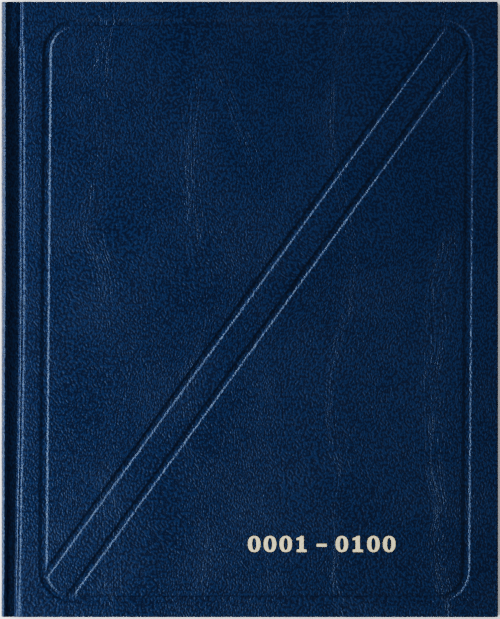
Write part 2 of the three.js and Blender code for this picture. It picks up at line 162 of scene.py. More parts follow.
class Paint:
    # A material, its shader, and the nodes that feed it
    def __init__(self, name, **fixed):
        self.material = bpy.data.materials.new(name)
        self.material.use_nodes = True
        self.tree = self.material.node_tree
        self.shader = self.tree.nodes["Principled BSDF"]
        for socket, value in fixed.items():
            self.shader.inputs[socket.replace("_", " ")].default_value = value
        self.place = self.node("ShaderNodeTexCoord", output="Object")
        self.x, self.y, self.z = self.split(self.place)

    def node(self, kind, settings=None, inputs=None, output=0):
        made = self.tree.nodes.new(kind)
        for key, value in (settings or {}).items():
            if key == "stops":
                ramp = made.color_ramp.elements
                while len(ramp) < len(value):
                    ramp.new(0.5)
                for stop, (at, colour) in zip(ramp, value):
                    stop.position, stop.color = at, (*colour, 1)
            else:
                setattr(made, key, value)
        for key, value in (inputs or {}).items():
            if isinstance(value, Tap):
                self.tree.links.new(value.socket, made.inputs[key])
            else:
                made.inputs[key].default_value = value
        return Tap(self, made.outputs[output])

    def split(self, vector):
        # The parts of a vector, in millimetres
        parts = [self.node("ShaderNodeSeparateXYZ", None, {0: vector}, i) for i in range(3)]
        return [part * 1000 for part in parts]

    def join(self, x, y, z):
        return self.node("ShaderNodeCombineXYZ", None, {0: x, 1: y, 2: z})

    def maths(self, operation, *values):
        return self.node("ShaderNodeMath", {"operation": operation}, dict(enumerate(values)))

    def most(self, taps):
        # The greatest of several values
        best = taps[0]
        for tap in taps[1:]:
            best = self.maths("MAXIMUM", best, tap)
        return best

    def noise(self, vector, scale, detail=3, roughness=0.55):
        inputs = {"Vector": vector, "Scale": scale, "Detail": detail, "Roughness": roughness}
        return self.node("ShaderNodeTexNoise", None, inputs, "Fac")

    def cells(self, vector, scale):
        return self.node("ShaderNodeTexVoronoi", None, {"Vector": vector, "Scale": scale}, "Distance")

    def ranged(self, value, low, high, toLow=0.0, toHigh=1.0):
        settings = {"interpolation_type": "SMOOTHSTEP"}
        return self.node("ShaderNodeMapRange", settings, {0: value, 1: low, 2: high, 3: toLow, 4: toHigh})

    def mix(self, share, first, second):
        return self.node("ShaderNodeMix", {"data_type": "RGBA"}, {0: share, 6: first, 7: second}, 2)

    def bump(self, height, distance):
        inputs = {"Strength": 1.0, "Distance": distance, "Height": height}
        return self.node("ShaderNodeBump", None, inputs, "Normal")

    def feed(self, **taps):
        for socket, tap in taps.items():
            self.tree.links.new(tap.socket, self.shader.inputs[socket.replace("_", " ")])
        return self.material


# Camera, straight above the cover
camera = {"lens": 500.0, "sensor": 36.0, "frameHeight": 341.7, "x": 0.28, "y": -0.06}
lens = bpy.data.cameras.new("camera")
lens.lens, lens.sensor_width = camera["lens"], camera["sensor"]
height = camera["frameHeight"] * camera["lens"] / camera["sensor"] + book["thickness"]
lens.clip_end = 20
viewer = bpy.data.objects.new("camera", lens)
viewer.location = (camera["x"] * 0.001, camera["y"] * 0.001, height * 0.001)
bpy.context.scene.collection.objects.link(viewer)
bpy.context.scene.camera = viewer

# Light: a long soft box low on the spine's side, two faint ones nearer head and tail, and bright air
lights = {
    "spineSide": {"at": (-1.0, 0.05, 0.38), "size": (1.6, 0.2), "watts": 75},
    "headSide": {"at": (-1.0, 0.75, 0.45), "size": (0.4, 0.2), "watts": 12},
    "tailSide": {"at": (-0.42, -0.3, 0.42), "size": (0.3, 0.3), "watts": 4.5},
    "colour": (0.95, 0.98, 1.0),
    "air": 0.69,
}


def softBox(name, at, size, watts):
    lamp = bpy.data.lights.new(name, "AREA")
    lamp.shape, lamp.size, lamp.size_y = "RECTANGLE", size[0], size[1]
    lamp.energy, lamp.color = watts, lights["colour"]
    box = bpy.data.objects.new(name, lamp)
    box.location = at
    box.rotation_mode = "QUATERNION"
    box.rotation_quaternion = (-Vector(at)).to_track_quat("-Z", "Y")
    bpy.context.scene.collection.objects.link(box)


for name in ("spineSide", "headSide", "tailSide"):
    softBox(name, **lights[name])
world = bpy.data.worlds.new("air")
world.use_nodes = True
world.node_tree.nodes["Background"].inputs[0].default_value = (1, 1, 1, 1)
world.node_tree.nodes["Background"].inputs[1].default_value = lights["air"]
bpy.context.scene.world = world

# Floor, just under the book
ground = {"reach": 3000.0, "level": -0.05, "dark": (0.91, 0.91, 0.9, 1), "light": (0.94, 0.94, 0.93, 1)}
floorPaint = Paint("paleFloor", Roughness=0.9)
floorTone = floorPaint.noise(floorPaint.place, 3.0, 2)
floorMaterial = floorPaint.feed(Base_Color=floorPaint.mix(floorTone, ground["dark"], ground["light"]))
u, v = np.meshgrid(*[np.linspace(-ground["reach"], ground["reach"], 3)] * 2)
floor = makePiece("floor", [(np.stack([u, v, u * 0 + ground["level"]], -1), quads(3, 3))], floorMaterial)
print("stage set")

# Leatherette: fine creases that run nearly from head to tail, small cells, and bunches of long wrinkles
leather = {
    # low is the painted shade in the creases' hollows, high the painted light on their crowns
    "low": (0.0, 0.0004, 0.0068, 1),
    "high": (0.001, 0.0044, 0.023, 1),
    "toneRange": (0.38, 0.64),
    "cloud": 0.15,  # share of the broad tone
    "roughness": (0.32, 0.42),
    "specular": 0.19,
    "specularTint": (0.34, 0.6, 1.0, 1),
    "drift": 46.0,  # mm that slow and quicker noise push the creases sideways
    "sway": 7.0,
    "creaseWide": 1.1,  # mm
    "creaseLong": 1.4,
    "creaseDepth": 0.00036,  # m, as all depths here
    "cellSize": 0.8,
    "cellDepth": 0.0001,
    "wrinkleGap": 1.35,
    "wrinkleLong": 30.0,
    "wrinkleDepth": 0.00008,
    "wrinkleEdge": 0.12,
    "bunches": ((-79.0, 11.0), (-31.0, 8.0), (106.0, 9.0), (52.0, 5.0)),  # x and half width
    "slantedBunch": (0.41, 36.0, 7.0, 60.0),  # its slant, place, half width and where it ends
    "slantedSway": 4.0,
    "bunchFade": 30.0,
    "patches": (0.34, 0.56, 0.25, 1.0),
    "calm": (10, 170, 1.0, 0.5),  # towards the upper right corner the grain is half as deep
}


def leatherGrain(paint):
    # Height of the grain. Creases are noise drawn out a little from head to tail, along a direction that
    # turns slowly; wrinkles are the lines where a long noise passes its mean, kept to a few bunches
    place, x, y = paint.place, paint.x, paint.y
    drift = paint.noise(place, 9.0, 2) - 0.5
    sway = paint.noise(place, 24.0, 2) - 0.5
    fan = x + drift * leather["drift"] + sway * leather["sway"]
    stretched = paint.join(
        fan / leather["creaseWide"], y / leather["creaseLong"], paint.z / leather["creaseWide"]
    )
    creases = paint.noise(stretched, 1.0, 0, 0.4)
    cells = 1 - paint.cells(place, 1000 / leather["cellSize"])

    def bunch(fan, at, half):
        # wrinkles of one bunch, which fades towards its sides
        gap = leather["wrinkleGap"]
        field = paint.noise(paint.join(fan / gap, y / leather["wrinkleLong"], paint.z / gap), 1.0, 1, 0.4)
        line = paint.ranged(abs(field - 0.5), 0.0, leather["wrinkleEdge"], 1.0, 0.0)
        return line * paint.ranged(abs(fan - at), half * 0.3, half, 1.0, 0.0)

    straight = paint.most([bunch(fan, at, half) for at, half in leather["bunches"]])
    slant, at, half, end = leather["slantedBunch"]
    slanted = bunch(x + y * slant + sway * leather["slantedSway"], at, half)
    slanted = slanted * paint.ranged(y, end, end + leather["bunchFade"])
    patches = paint.ranged(paint.noise(place, 14.0, 2), *leather["patches"])
    wrinkles = paint.most([straight, slanted]) * patches
    calm = paint.ranged(y * 0.8 + x * 0.6, *leather["calm"])
    return creases, cells, wrinkles, calm


def paintLeather(name):
    paint = Paint(name, Specular_IOR_Level=leather["specular"], Specular_Tint=leather["specularTint"])
    creases, cells, wrinkles, calm = leatherGrain(paint)
    # The colour follows the creases' height: darker in their hollows and lighter on their crowns, a painted
    # shade and highlight in the grain, with the broad cloud's random tone mixed in
    tone = creases + (paint.noise(paint.place, 14.0, 3) - 0.5) * leather["cloud"]
    colour = paint.mix(paint.ranged(tone, *leather["toneRange"]), leather["low"], leather["high"])
    rough = paint.ranged(paint.noise(paint.place, 30.0, 3), 0.3, 0.7, *leather["roughness"])
    height = (
        creases * leather["creaseDepth"] * calm
        + cells * leather["cellDepth"] * calm
        + wrinkles * leather["wrinkleDepth"]
    )
    return paint.feed(Base_Color=colour, Roughness=rough, Normal=paint.bump(height, 1.0))


navyLeatherette = paintLeather("navyLeatherette")

# Spine: the upper half of its outline, from the middle of its back over the crest to the hinge.
# Each row: x and level of the outside, then of the point behind it that the wrapped end reaches,
# and how far the turn-in goes in there, as a share
spine = {
    "rows": np.array([
        (-137.25, 9.45, -135.65, 9.45, 1), (-137.24, 11.5, -135.6, 11.5, 1),
        (-137.22, 13.2, -135.47, 13.2, 1), (-137.12, 14.7, -135.31, 14.5, 1),
        (-136.8, 15.8, -135.9, 15.3, 0), (-136.4, 16.65, -135.8, 16.0, 0),
        (-135.93, 17.45, -135.65, 16.6, 0), (-135.5, 18.02, -135.6, 17.0, 0),
        (-135.07, 18.4, -135.5, 17.2, 0), (-134.65, 18.6, -135.5, 17.3, 0),
        (-134.4, 18.4, -135.6, 17.0, 0), (-134.95, 16.8, -135.9, 16.4, 0),
        (-135.15, 16.2, -135.98, 16.0, 0), (-135.12, 15.78, -135.9, 15.4, 0.3),
        (-134.9, 15.6, -135.4, 15.12, 1),
    ]),
    "lip": 12,  # the row where front and back covering meet, inside the lower lip
    "crest": slice(4, 11),
    "crestAtTail": np.array([
        (-137.05, 16.1), (-136.7, 17.0), (-136.3, 17.5), (-135.9, 17.8), (-135.5, 17.95), (-135.0, 17.95),
        (-134.8, 17.5),
    ]),
    "crestAtHead": np.array([
        (-136.8, 15.7), (-136.4, 16.5), (-135.9, 17.15), (-135.45, 17.7), (-135.0, 18.0), (-134.6, 18.15),
        (-134.4, 17.95),
    ]),
    "sinksFrom": 5.0,  # towards the tail the crest takes on that form from here on, over this length
    "sinksOver": 165.0,
    "sinksEarly": 0.6,
    "tailDrawn": 0.2,
    # behind the crest the front's joint starts as a slope: these rows, and the joint's first three
    "slopeRows": slice(11, 15),
    "slope": np.array([
        (-134.15, 18.25), (-133.9, 18.08), (-133.6, 17.87), (-133.3, 17.63), (-132.95, 17.35),
        (-132.4, 16.95), (-131.6, 16.4),
    ]),
    "slopeAtHead": np.array([
        (-134.15, 18.2), (-133.9, 18.02), (-133.6, 17.8), (-133.3, 17.58), (-132.95, 17.35),
        (-132.4, 17.1), (-131.6, 16.85),
    ]),
    "slopeInside": np.array([(-135.1, 16.75), (-134.7, 16.55), (-134.3, 16.35), (-133.8, 16.2)]),
    "slopeUnder": (16.15, 15.9, 15.6),  # the turn-in is higher under it, where the joint folds
    "slopeFrom": -134.4,
    "slopeWide": 4.0,
}
covering = {
    "wall": 0.23,
    "weld": 0.0085,
    "edgeRound": 0.75,
    "cornerRound": 0.9,
    "cornerSteps": 9,
    "cornerTurnIn": 0.75,
    "rim": 0.85,  # the wrapped edge starts this far in from the book's edge
    "mitreGap": 0.2,  # turn-ins stop this far short of each other at a corner
    "turnInHead": 26.0,
    "turnInTail": 15.0,
    "turnInFore": 15.0,
    "rows": 100,
    "perSpan": 4,
    "flatReach": 0.07,  # what lies less than this under the face counts as the back cover's flat
    "headFrom": 143.5,  # joint is shallower from here to the head, over the deep turn-in
    "headOver": 3.0,
    "tailFrom": -154.0,  # and a little so from here to the tail
    "tailOver": 4.0,
    "tailShare": 0.3,
    "leanAtHead": 0.2,
    "leanAtTail": -2.6,  # the board's edge draws towards the spine at the tail
    "leanPower": 1.25,
    "wobble": 0.05,
    "wobbleRates": (0.05, 0.13, 0.31, 0.8),
    # the joint, from the hinge to the flat of the cover
    "joint": [
        (-134.6, 15.6), (-133.9, 15.68), (-132.2, 15.78), (-130.2, 15.75), (-128.6, 15.4),
        (-127.6, 15.2), (-127.2, 15.3), (-127.12, 16.1), (-127.05, 16.65), (-126.75, 17.05),
        (-126.35, 17.4), (-126.0, 17.6), (-125.65, 17.35), (-125.35, 17.2), (-125.2, 17.85),
        (-125.0, 18.2), (-124.55, 18.55), (-124.05, 18.85), (-120.5, 18.87),
    ],
    "jointHead": [
        (-134.6, 15.85), (-133.7, 16.15), (-132.2, 16.45), (-130.6, 16.6), (-129.0, 16.4),
        (-127.7, 15.95), (-126.9, 15.7), (-126.42, 15.85), (-126.22, 16.6), (-126.12, 17.4),
        (-125.95, 18.05), (-125.65, 18.5), (-125.25, 18.77), (-124.8, 18.86), (-124.3, 18.87),
        (-123.8, 18.87), (-123.3, 18.87), (-122.8, 18.87), (-120.5, 18.87),
    ],
    # where the rim has its stations: x along head and tail, y along the fore-edge
    "flatX": (*np.linspace(-120.5, 100, 22)[1:], 111.15, 122.15, 130.0),
    "foreY": (-163.0, -154.9, *np.linspace(-140, 140, 21), 154.9, 163.0),
}
stamp = {
    "x0": -112.45, "x1": 120.73, "y0": -159.9, "y1": 158.2,  # panel, to the middle of its line
    "radius": 16.0,
    "lean": math.tan(math.radians(0.45)),
    "band": 17.6,
    "overshoot": 3.2,
    "floor": 0.8,  # half widths of the line, at its floor and over its walls
    "half": 2.4,
    "wide": 1.1,  # and how much wider its wall is on the spine's side of the upright lines
    "upright": (0.84, 0.98),  # lines count as upright from the first to the second of these
    "depth": 0.8,
    # how deeply the die went in, as a share: less towards the head and the upper right corner, more at
    # the band, less at the two upright lines
    "press": 0.85,
    "headPress": 0.08,
    "cornerPress": 0.14,
    "pressReach": 160.0,
    "bandPress": 0.05,
    "bandFade": (3.0, 6.0),
    "forePress": 0.13,
    "jointPress": 0.07,
    "uprightFade": (98, 110),
    # along the panel's line, 0 to 8, where the band's lines meet it at the head and at the tail
    "headSpan": (1.2, 3.6),
    "tailSpan": (7.6, 5.2),
    "wallRings": 15,
    "lastRing": 0.35,
    "lineSteps": 90,
    "panelSteps": (24, 60, 24, 44) * 2,  # points round each corner and along each side
}


def outlines(y, front):
    # Rows of outline points at each y. Joint and crest are weighted means of their forms in the middle,
    # at the head and at the tail; the lean moves them sideways, and one smooth curve goes through them
    c, s = covering, spine
    atHead = fade(c["headFrom"], c["headFrom"] + c["headOver"], y)[:, None]
    atTail = fade(c["tailFrom"], c["tailFrom"] - c["tailOver"], y)[:, None]
    shallow = np.maximum(atHead, atTail * c["tailShare"])[:, :, None]
    middle, head = np.array(c["joint"]), np.array(c["jointHead"])
    joint = middle + (head - middle) * shallow
    under = np.stack([joint[..., 0], np.full(joint.shape[:2], book["underLevel"])], -1)
    joint = np.concatenate([joint, under, np.ones((*joint.shape[:2], 1))], -1)
    upper = np.repeat(s["rows"][None], len(y), 0)
    if front:
        low = np.clip((s["sinksFrom"] - y) / s["sinksOver"], 0, 1)
        crest = s["rows"][s["crest"], :2]
        upper[:, s["crest"], :2] += (s["crestAtTail"] - crest) * low[:, None, None] ** s["sinksEarly"]
        upper[:, s["crest"], :2] += (s["crestAtHead"] - crest) * atHead[:, :, None]
        upper[:, s["crest"], 0] -= s["tailDrawn"] * atTail
        lower = upper[:, s["lip"] : 0 : -1] * [1, -1, 1, -1, 1] + [0, 2 * midLevel, 0, 2 * midLevel, 0]
        slope = s["slope"] + (s["slopeAtHead"] - s["slope"]) * shallow
        upper[:, s["slopeRows"], :2] = slope[:, :4]
        upper[:, s["slopeRows"], 2:4] = s["slopeInside"]
        joint[:, :3, :3] = slope[:, 4:, [0, 1, 0]]
        joint[:, :3, 3] = s["slopeUnder"]
        controls = np.concatenate([lower, upper, joint], 1)
        phases = np.random.default_rng(7).uniform(0, 6, len(c["wobbleRates"]))
        waves = [np.sin(y * rate + phase) for rate, phase in zip(c["wobbleRates"], phases)]
        lean = c["leanAtHead"] + c["leanAtTail"] * low ** c["leanPower"]
        lean = lean + c["wobble"] * sum(waves) * (1 - atHead[:, 0]) * (1 - atTail[:, 0])
        share = np.clip((controls[..., 0] - s["slopeFrom"]) / s["slopeWide"], 0, 1)
        share[:, -1] = 0
        # the slope starts as low as the crest does and comes back to the joint's own level
        top = s["crest"].stop - 1
        sunk = upper[:, top, 1] - s["rows"][top, 1]
        slopeEnd = joint.shape[1] - 3
        part = slice(-slopeEnd - slope.shape[1], -slopeEnd)
        controls[:, part, 1] += sunk[:, None] * (1 - share[:, part])
        controls[..., 0] += lean[:, None] * share
        controls[..., 2] += lean[:, None] * share
    else:
        controls = np.concatenate([upper[:, s["lip"] :], joint], 1)
    return smoothCurve(controls.transpose(1, 0, 2), c["perSpan"]).transpose(1, 0, 2)


def wrappedEdge(front):
    # The edge's section, carried round tail, fore-edge and head: flat rim, round shoulder, side,
    # round bottom and turn-in. The section's depth runs from the outside to the point behind it
    c = covering
    rim, radius = c["rim"], c["edgeRound"]
    endY, centreX, centreY = headY - rim, foreX - c["cornerRound"], headY - c["cornerRound"]
    flatX = np.array([*c["flatX"], centreX])
    level, under = book["faceLevel"], book["underLevel"]

    def station(x, y, z, qx, qz, outX, outY, turn):
        return np.stack(np.broadcast_arrays(x, y, z, qx, qz, outX, outY, turn), -1).astype(float)

    def mitred(width, gone):
        return np.minimum(width, c["cornerRound"] - c["mitreGap"] + gone)

    def endStations(side, width):
        o = outlines(np.array([side * endY]), front)[0]
        curved = station(o[:, 0], side * endY, o[:, 1], o[:, 2], o[:, 3], 0, side, o[:, 4] * width)
        flat = station(flatX, side * endY, level, flatX, under, 0, side, mitred(width, centreX - flatX))
        return np.concatenate([curved, flat])

    def cornerStations(side):
        angle = np.radians(np.linspace(0, 90, c["cornerSteps"])[1:-1] + (side < 0) * -90)
        small = c["cornerRound"] - rim
        x, y = centreX + small * np.cos(angle), side * centreY + small * np.sin(angle)
        return station(x, y, level, x, under, np.cos(angle), np.sin(angle), c["cornerTurnIn"])

    foreY = np.array([-centreY, *c["foreY"], centreY])
    foreWidth = mitred(c["turnInFore"], centreY - abs(foreY))
    fore = station(foreX - rim, foreY, level, foreX - rim, under, 1, 0, foreWidth)
    tail, head = endStations(-1, c["turnInTail"]), endStations(1, c["turnInHead"])
    path = np.concatenate([tail, cornerStations(-1), fore, cornerStations(1), head[::-1]])
    x, y, z, qx, qz, outX, outY, turn = path.T[..., None]
    deep = np.hypot(z - qz, np.where(outY != 0, x - qx, 0))
    r = np.minimum(radius, deep / 2)
    bend = np.radians(np.linspace(0, 90, 6))[None]
    out = np.concatenate([
        0 * r, rim - r + r * np.sin(bend), rim - r + r * np.cos(bend), rim - np.maximum(turn * 0.5, r),
        rim - np.maximum(turn, r),
    ], 1)
    depth = np.concatenate([0 * r, r * (1 - np.cos(bend)), deep - r + r * np.sin(bend), deep, deep], 1)
    share = depth / deep
    section = [x + (qx - x) * share + outX * out, y + outY * out, z + (qz - z) * share]
    return np.stack(section, -1)


def panelLine(tau, inset):
    # Rounded rectangle that leans: tau runs 0 to 8 round its corners and sides, anticlockwise
    s, radius = stamp, stamp["radius"]
    right, left = s["x1"] - radius, s["x0"] + radius
    low, high = s["y0"] + radius, s["y1"] - radius
    centres = np.array([(right, low), (right, high), (left, high), (left, low), (right, low)])
    k = np.floor(tau).astype(int) % 8
    part = (tau % 1)[..., None]
    isSide = (k % 2 == 1)[..., None]
    centre = np.where(isSide, centres[k // 2] * (1 - part) + centres[k // 2 + 1] * part, centres[k // 2])
    angle = np.radians(90 * ((k + 1) // 2 - 1) + np.where(k % 2 == 1, 0, 90 * (tau % 1)))
    point = centre + (radius - inset) * np.stack([np.cos(angle), np.sin(angle)], -1)
    point[..., 0] += s["lean"] * point[..., 1]
    return point


def stampedFace():
    # The face inside and round the stamped lines. Each field between the lines is ringed by the
    # line's wall: rings at growing distance from its middle, lowered by half a cosine
    s = stamp
    last = s["half"] + s["wide"]
    insets = np.array([0, *np.linspace(s["floor"], last, s["wallRings"]), last + s["lastRing"]])
    centre = np.array([(s["x0"] + s["x1"]) / 2, (s["y0"] + s["y1"]) / 2])
    centre[0] += s["lean"] * centre[1]
    along = np.array([s["x1"] - s["x0"], s["y1"] - s["y0"] + 2 * s["overshoot"]])
    along[0] += s["lean"] * (s["y1"] - s["y0"])
    along /= np.hypot(*along)
    sideways = np.array([-along[1], along[0]])
    half = s["band"] / 2

    def crossings(inset, aside):
        # tau where a line beside the diagonal meets the panel's line at this inset, at head and tail
        spans = [np.linspace(*s[span], 6001) for span in ("headSpan", "tailSpan")]
        return [np.interp(aside, (panelLine(tau, inset) - centre) @ sideways, tau) for tau in spans]

    lowerHead0, lowerTail0 = crossings(0, -half)
    upperHead0, upperTail0 = crossings(0, half)
    steps = [np.arange(k, k + 1, 1 / n) for k, n in enumerate(s["panelSteps"])]
    marks = np.sort(np.concatenate([*steps, (lowerHead0, lowerTail0, upperHead0, upperTail0)]))
    margin = marks[::-1]
    marks = np.concatenate([marks, marks + 8])

    def arcBetween(start, end, first, last, inset):
        # the part of the panel's line from start to end; marks gone by are gathered at its ends
        tau = marks[(marks >= first - 1e-9) & (marks <= last + 1e-9)].clip(start, end)
        tau[0], tau[-1] = start, end
        return panelLine(tau, inset)

    def straight(start, end):
        return start + (end - start) * np.linspace(0, 1, s["lineSteps"])[1:-1, None]

    fields = {"margin": [], "upper": [], "band": [], "lower": []}
    for inset in insets:
        fields["margin"].append(panelLine(margin, -inset))
        atHead, atTail = crossings(inset, half + inset)
        edge = arcBetween(atHead, atTail, upperHead0, upperTail0, inset)
        fields["upper"].append(np.concatenate([edge, straight(edge[-1], edge[0])]))
        atHead, atTail = crossings(inset, -half - inset)
        edge = arcBetween(atTail, atHead + 8, lowerTail0, lowerHead0 + 8, inset)
        fields["lower"].append(np.concatenate([edge, straight(edge[-1], edge[0])]))
        lowHead, lowTail = crossings(inset, inset - half)
        highHead, highTail = crossings(inset, half - inset)
        head = arcBetween(lowHead, highHead, lowerHead0, upperHead0, inset)
        tail = arcBetween(highTail, lowTail, upperTail0, lowerTail0, inset)
        ring = [head, straight(head[-1], tail[0]), tail, straight(tail[-1], head[0])]
        fields["band"].append(np.concatenate(ring))
    parts, lastRings = [], {}
    for name, rings in fields.items():
        plan = np.stack(rings)
        run = np.roll(plan, -2, 1) - np.roll(plan, 2, 1)
        away = -run[..., 1:] / (np.hypot(*run.T).T[..., None] + 1e-9)
        wall = s["half"] - s["floor"] + s["wide"] * fade(*s["upright"], -away)
        up = np.clip((insets[:, None, None] - s["floor"]) / wall, 0, 1)
        drops = (1 + np.cos(np.pi * up)) / 2 * s["depth"]
        across = (plan - centre) @ sideways[:, None]
        x, shareX, shareY = plan[..., :1], *np.split((plan - centre) / along[1] / s["pressReach"], 2, -1)
        press = s["press"] - s["headPress"] * shareX - s["cornerPress"] * shareX * shareY
        near, far = s["bandFade"]
        press = press + s["bandPress"] * (1 - fade(half + near, half + far, abs(across)))
        press = press - s["forePress"] * fade(*s["uprightFade"], x)
        press = press - s["jointPress"] * fade(*s["uprightFade"], -x)
        points = np.concatenate([plan, book["faceLevel"] - drops * press], -1)
        parts.append((points, quads(*plan.shape[:2], closedColumns=True)))
        lastRings[name] = points[-1]
    return parts, lastRings


def flatField(ring, holes=()):
    # A flat face inside a ring of points, with rings left out of it
    loops = [r[np.hypot(*(r - np.roll(r, 1, 0)).T[:2]) > 0.003] for r in (ring, *holes)]
    corners = np.array(tessellate_polygon([[Vector(p) for p in loop] for loop in loops]))
    points = np.concatenate(loops)
    a, b, c = (points[corners[:, i], :2] for i in range(3))
    turned = np.cross(b - a, c - a) < 0
    corners[turned] = corners[turned][:, ::-1]
    return points, corners


def coveringSkin(name, front):
    # Front: outlines from tail to head, the wrapped edge and the stamped face. Back: the plain upper
    # half of the same, lifted to the book's full thickness and turned over
    c = covering
    endY = headY - c["rim"]
    y = np.linspace(-endY, endY, c["rows"])
    if front:
        atHead = c["headFrom"] + np.linspace(0, c["headOver"], 6)
        atTail = c["tailFrom"] - np.linspace(0, c["tailOver"], 5)
        y = np.sort(np.concatenate([y, atHead, atTail]))
    o = outlines(y, front)
    across = np.stack([o[..., 0], np.broadcast_to(y[:, None], o.shape[:2]), o[..., 1]], -1)
    edge = wrappedEdge(front)
    parts = [(across, quads(*o.shape[:2])), (edge, quads(*edge.shape[:2]))]
    rim = edge[:, 0]
    first = o.shape[1] - 1
    ring = np.concatenate([rim[first : len(rim) - first], across[:, -1][-2:0:-1]])
    if front:
        stamped, rings = stampedFace()
        parts += stamped
        parts.append(flatField(ring, [rings["margin"]]))
        parts += [flatField(rings[field]) for field in ("upper", "band", "lower")]
    else:
        parts.append(flatField(ring))
        flatFrom = book["faceLevel"] - c["flatReach"]
        lift = np.array([0, 0, book["thickness"] - book["faceLevel"]])
        lifted = [(np.where(p[..., 2:] > flatFrom, p + lift, p), np.asarray(f)) for p, f in parts]
        parts = [(p * [1, 1, -1] + [0, 0, book["thickness"]], f[:, ::-1]) for p, f in lifted]
    skin = makePiece(name, parts, navyLeatherette, weld=c["weld"])
    wall = skin.modifiers.new("wall", "SOLIDIFY")
    wall.thickness, wall.offset = c["wall"] * 0.001, -1
    return applied(skin)


# The coverings, baked into place, in metres
frontCovering = coveringSkin("covering_front_and_spine", True)
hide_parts("front_leatherette", "spine_leatherette")
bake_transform(frontCovering)
backCovering = coveringSkin("covering_back", False)
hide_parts("back_leatherette")
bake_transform(backCovering)
print("covering made")


def inMm(node):
    low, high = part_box(node)
    return np.array(low) * 1000, np.array(high) * 1000


def carried(path, profile):
    # A closed profile (rows of x, y) set at each point of a path (rows of x, y, z), ends closed
    flat = np.concatenate([profile, 0 * profile[:, :1]], -1)
    points = path[:, None] + flat[None]
    count = len(profile)
    ends = [(points[0], [list(range(count))[::-1]]), (points[-1], [list(range(count))])]
    return [(points, quads(*points.shape[:2], closedColumns=True)), *ends]


# Paper: off-white with faint fibres, feint lines and cash columns on the leaves
paper = {
    "light": (0.78, 0.745, 0.63, 1),
    "dark": (0.7, 0.66, 0.54, 1),
    "endLight": (0.84, 0.82, 0.75, 1),
    "endDark": (0.78, 0.76, 0.68, 1),
    "feint": (0.16, 0.3, 0.5, 1),
    "columnRed": (0.5, 0.06, 0.08, 1),
    "lineGap": 8.0,
    "lineHalf": 0.15,
    "firstLine": 132.0,
    "lastLine": -150.0,
    "headLines": (138.0, 139.2, 150.0),
    "redTop": 139.0,
    "redLines": (-112.0, -110.8, 16.0, 17.2, 54.0, 55.2, 92.0, 93.2),
    "blueLines": (-96.0, 4.0, 43.0, 81.0, 119.0),
}


def nearTo(paint, value, half):
    # 1 on a line, soft at its edges
    return paint.ranged(abs(value), half * 0.6, half * 1.5, 1.0, 0.0)


def paintPaper(name, ruled, light, dark):
    paint = Paint(name, Roughness=0.88)
    fibres = paint.noise(paint.join(paint.x * 0.9, paint.y * 0.25, paint.z * 9), 1.0, 4, 0.7)
    cloud = paint.noise(paint.place, 26.0, 3)
    colour = paint.mix(fibres * 0.5 + cloud * 0.5, dark, light)
    if ruled:
        rows = paint.maths("FRACT", (paper["firstLine"] - paint.y) / paper["lineGap"] + 0.5) - 0.5
        feint = nearTo(paint, rows * paper["lineGap"], paper["lineHalf"])
        feint = feint * (paint.y > paper["lastLine"]) * (paint.y < paper["firstLine"] + 1)
        colour = paint.mix(feint * 0.9, colour, paper["feint"])
        blue = [nearTo(paint, paint.x - at, paper["lineHalf"]) for at in paper["blueLines"]]
        blue += [nearTo(paint, paint.y - at, paper["lineHalf"] * 1.3) for at in paper["headLines"]]
        red = [nearTo(paint, paint.x - at, paper["lineHalf"] * 1.2) for at in paper["redLines"]]
        colour = paint.mix(paint.most(blue) * 0.95, colour, paper["feint"])
        colour = paint.mix(paint.most(red) * (paint.y < paper["redTop"]) * 0.95, colour, paper["columnRed"])
    return paint.feed(Base_Color=colour, Normal=paint.bump(fibres, 0.00004))


ledgerPaper = paintPaper("ledgerPaper", True, paper["light"], paper["dark"])
endpaperStock = paintPaper("endpaperStock", False, paper["endLight"], paper["endDark"])

# Sewn sections, each of folded sheets one inside another
sheets = {
    "caliper": 0.1,
    "air": 0.008,
    "trim": 0.07,  # how uneven the cut edges are
    "foldSteps": 9,
}


def foldedSection(node, seed):
    # Every sheet is a flat strip's section carried from fore-edge round its fold and back
    low, high = inMm(node)
    rng = np.random.default_rng(seed)
    half = (high[2] - low[2]) / 2
    count = round(half / sheets["caliper"])
    centre = (low + high) / 2
    gap = half - (np.arange(count) + 0.5) * sheets["caliper"]
    angle = np.linspace(np.pi / 2, 3 * np.pi / 2, sheets["foldSteps"])
    foldX = low[0] + half
    ends = high[0] - rng.uniform(0, sheets["trim"], (2, count))
    cut = rng.uniform(0, sheets["trim"], (2, count, 1))
    rings = []
    for side in (0.5, -0.5):
        reach = gap + side * (sheets["caliper"] - sheets["air"])
        x = np.concatenate([ends[:1], foldX + reach * np.cos(angle)[:, None], ends[1:]]).T
        z = np.concatenate([reach[None], reach * np.sin(angle)[:, None], -reach[None]]).T + centre[2]
        for y in (high[1] - cut[0], low[1] + cut[1])[:: 1 if side > 0 else -1]:
            rings.append(np.stack([x, y + 0 * x, z], -1))
    points = np.stack(rings, 2)
    steps = points.shape[1]
    ends = np.array([(3, 2, 1, 0), (-4, -3, -2, -1)]) + [[0], [steps * 4]]
    one = np.concatenate([quads(steps, 4, closedColumns=True), ends])
    faces = one[None] + (np.arange(count) * steps * 4)[:, None, None]
    faces = faces.reshape(-1, 4)[:, ::-1]
    section = makePiece("folded_sheets_" + node[-2:], [(points, faces)], ledgerPaper, smooth=False)
    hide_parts(node)
    return section


for number in range(1, 11):
    node = f"section_{number:02d}"
    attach(foldedSection(node, number), "front_half" if number <= 5 else "root")

# Guard: a strip of the ledger paper folded in the middle of the block, which closes the gutter
guard = {
    "rootEdge": -133.2,  # it lies on the back half's first leaf from here,
    "frontEdge": -133.7,  # and stops short of the leaves that turn
    "fold": -135.0,
    "half": 0.045,  # half its height when it is folded
    "paper": 0.03,
    "halfLength": 166.0,
}


